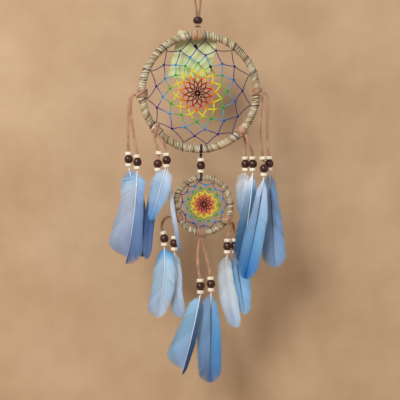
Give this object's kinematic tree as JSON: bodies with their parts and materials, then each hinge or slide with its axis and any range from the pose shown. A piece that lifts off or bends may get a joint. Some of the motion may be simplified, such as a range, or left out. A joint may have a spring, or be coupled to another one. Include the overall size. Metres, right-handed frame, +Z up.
{
  "type": "dream catcher",
  "caption": "Dream catcher: a large wrapped hoop with a woven web, a smaller one hung below it, and beaded suede laces ending in feathers.",
  "frame": {"origin": "the underside of the top of the hanging loop, where it rests on its nail", "axes": "+Z up, +X to the right seen from the room, -Y towards the room"},
  "size_m": [0.2178, 0.0319, 0.5219],
  "materials": {
    "suede_lace": "matte suede",
    "dark_bead": "stained and waxed",
    "pale_bead": "satin",
    "cane": "bare cane, hidden by the wrap",
    "raffia_wrap": "dry plant fibre",
    "web_thread": "rainbow-dyed waxed thread",
    "link_cord": "waxed thread",
    "tag_card": "uncoated card",
    "tag_cord": "cotton cord",
    "pale_feather": "dyed feather, satin",
    "blue_feather": "dyed feather, satin",
    "navy_feather": "dyed feather, satin"
  },
  "bodies": {
    "hanger": {"hanging_loop": "suede_lace"},
    "top_bead": {"hanging_bead": "dark_bead"},
    "big_hoop": {"hanging_knot": "suede_lace", "big_hoop_core": "cane", "big_hoop_wrap": "raffia_wrap", "big_web": "web_thread", "big_web_hitches": "web_thread", "big_lace_knots": "suede_lace"},
    "tag": {"paper_tag": "tag_card", "tag_string": "tag_cord"},
    "link": {"link_thread": "link_cord", "link_bead": "dark_bead", "link_spacers": "pale_bead"},
    "small_hoop": {"small_hoop_core": "cane", "small_hoop_wrap": "raffia_wrap", "small_web": "web_thread", "small_web_hitches": "web_thread", "small_lace_knots": "suede_lace"},
    "left_outer_strand": {"left_outer_lace": "suede_lace", "left_outer_beads": "dark_bead", "left_outer_feather": "pale_feather"},
    "left_inner_strand": {"left_inner_lace": "suede_lace", "left_inner_beads": "dark_bead", "left_inner_feather": "pale_feather"},
    "lower_left_outer_strand": {"lower_left_outer_lace": "suede_lace", "lower_left_outer_beads": "dark_bead", "lower_left_outer_feather": "navy_feather"},
    "lower_left_inner_strand": {"lower_left_inner_lace": "suede_lace", "lower_left_inner_beads": "dark_bead", "lower_left_inner_feather": "pale_feather"},
    "right_inner_strand": {"right_inner_lace": "suede_lace", "right_inner_beads": "dark_bead", "right_inner_feather": "blue_feather"},
    "right_outer_strand": {"right_outer_lace": "suede_lace", "right_outer_beads": "dark_bead", "right_outer_feather": "blue_feather"},
    "lower_right_inner_strand": {"lower_right_inner_lace": "suede_lace", "lower_right_inner_beads": "dark_bead", "lower_right_inner_feather": "pale_feather"},
    "lower_right_outer_strand": {"lower_right_outer_lace": "suede_lace", "lower_right_outer_beads": "dark_bead", "lower_right_outer_feather": "pale_feather"},
    "small_left_outer_strand": {"small_left_outer_lace": "suede_lace", "small_left_outer_beads": "dark_bead", "small_left_outer_feather": "pale_feather"},
    "small_left_inner_strand": {"small_left_inner_lace": "suede_lace", "small_left_inner_beads": "dark_bead", "small_left_inner_feather": "pale_feather"},
    "small_bottom_left_strand": {"small_bottom_left_lace": "suede_lace", "small_bottom_left_beads": "dark_bead", "small_bottom_left_feather": "navy_feather"},
    "small_bottom_right_strand": {"small_bottom_right_lace": "suede_lace", "small_bottom_right_beads": "dark_bead", "small_bottom_right_feather": "pale_feather"},
    "small_right_inner_strand": {"small_right_inner_lace": "suede_lace", "small_right_inner_beads": "dark_bead", "small_right_inner_feather": "pale_feather"},
    "small_right_outer_strand": {"small_right_outer_lace": "suede_lace", "small_right_outer_beads": "dark_bead", "small_right_outer_feather": "blue_feather"}
  },
  "joints": [
    {"name": "top_bead_slide", "type": "slide", "parent": "hanger", "child": "top_bead", "axis": [0, 0, 1], "range_m": [0, 0.009]},
    {"name": "hoop_twist", "type": "hinge", "parent": "hanger", "child": "big_hoop", "pos_m": [0, 0, -0.0822], "axis": [0, 0, 1], "range_deg": [-60, 60], "stiffness_Nm_per_rad": 0.0005},
    {"name": "tag_swing", "type": "hinge", "parent": "big_hoop", "child": "tag", "pos_m": [0, 0, -0.0855], "axis": [0, 1, 0], "range_deg": [-12, 8]},
    {"name": "link_swing", "type": "hinge", "parent": "big_hoop", "child": "link", "pos_m": [0.0039, 0, -0.2346], "axis": [0, 1, 0], "range_deg": [-5, 5]},
    {"name": "small_hoop_swing", "type": "hinge", "parent": "link", "child": "small_hoop", "pos_m": [0.0039, 0, -0.2691], "axis": [0, 1, 0], "range_deg": [-5, 5]},
    {"name": "left_outer_swing", "type": "hinge", "parent": "big_hoop", "child": "left_outer_strand", "pos_m": [-0.0758, 0.0013, -0.168], "axis": [0, 1, 0], "range_deg": [0, 30]},
    {"name": "left_inner_swing", "type": "hinge", "parent": "big_hoop", "child": "left_inner_strand", "pos_m": [-0.0758, -0.0013, -0.168], "axis": [0, 1, 0], "range_deg": [-8, 0]},
    {"name": "lower_left_outer_swing", "type": "hinge", "parent": "big_hoop", "child": "lower_left_outer_strand", "pos_m": [-0.052, -0.0076, -0.2168], "axis": [0, 1, 0], "range_deg": [0, 18]},
    {"name": "lower_left_inner_swing", "type": "hinge", "parent": "big_hoop", "child": "lower_left_inner_strand", "pos_m": [-0.0496, -0.0076, -0.217], "axis": [0, 1, 0], "range_deg": [-20, 0]},
    {"name": "right_inner_swing", "type": "hinge", "parent": "big_hoop", "child": "right_inner_strand", "pos_m": [0.077, -0.0066, -0.166], "axis": [0, 1, 0], "range_deg": [0, 15]},
    {"name": "right_outer_swing", "type": "hinge", "parent": "big_hoop", "child": "right_outer_strand", "pos_m": [0.08, 0, -0.165], "axis": [0, 1, 0], "range_deg": [-30, 0]},
    {"name": "lower_right_inner_swing", "type": "hinge", "parent": "big_hoop", "child": "lower_right_inner_strand", "pos_m": [0.0574, 0.0058, -0.2178], "axis": [0, 1, 0], "range_deg": [0, 15]},
    {"name": "lower_right_outer_swing", "type": "hinge", "parent": "big_hoop", "child": "lower_right_outer_strand", "pos_m": [0.0582, -0.0058, -0.2176], "axis": [0, 1, 0], "range_deg": [-10, 0]},
    {"name": "small_left_outer_swing", "type": "hinge", "parent": "small_hoop", "child": "small_left_outer_strand", "pos_m": [-0.0304, 0.0036, -0.3182], "axis": [0, 1, 0], "range_deg": [0, 15]},
    {"name": "small_left_inner_swing", "type": "hinge", "parent": "small_hoop", "child": "small_left_inner_strand", "pos_m": [-0.0286, 0.0048, -0.3215], "axis": [0, 1, 0], "range_deg": [-15, 0]},
    {"name": "small_bottom_left_swing", "type": "hinge", "parent": "small_hoop", "child": "small_bottom_left_strand", "pos_m": [0.0029, 0, -0.3432], "axis": [0, 1, 0], "range_deg": [0, 20]},
    {"name": "small_bottom_right_swing", "type": "hinge", "parent": "small_hoop", "child": "small_bottom_right_strand", "pos_m": [0.0056, 0, -0.3432], "axis": [0, 1, 0], "range_deg": [-20, 0]},
    {"name": "small_right_inner_swing", "type": "hinge", "parent": "small_hoop", "child": "small_right_inner_strand", "pos_m": [0.041, 0.0026, -0.3242], "axis": [0, 1, 0], "range_deg": [0, 12]},
    {"name": "small_right_outer_swing", "type": "hinge", "parent": "small_hoop", "child": "small_right_outer_strand", "pos_m": [0.0426, 0.0054, -0.3234], "axis": [0, 1, 0], "range_deg": [-12, 0]}
  ]
}
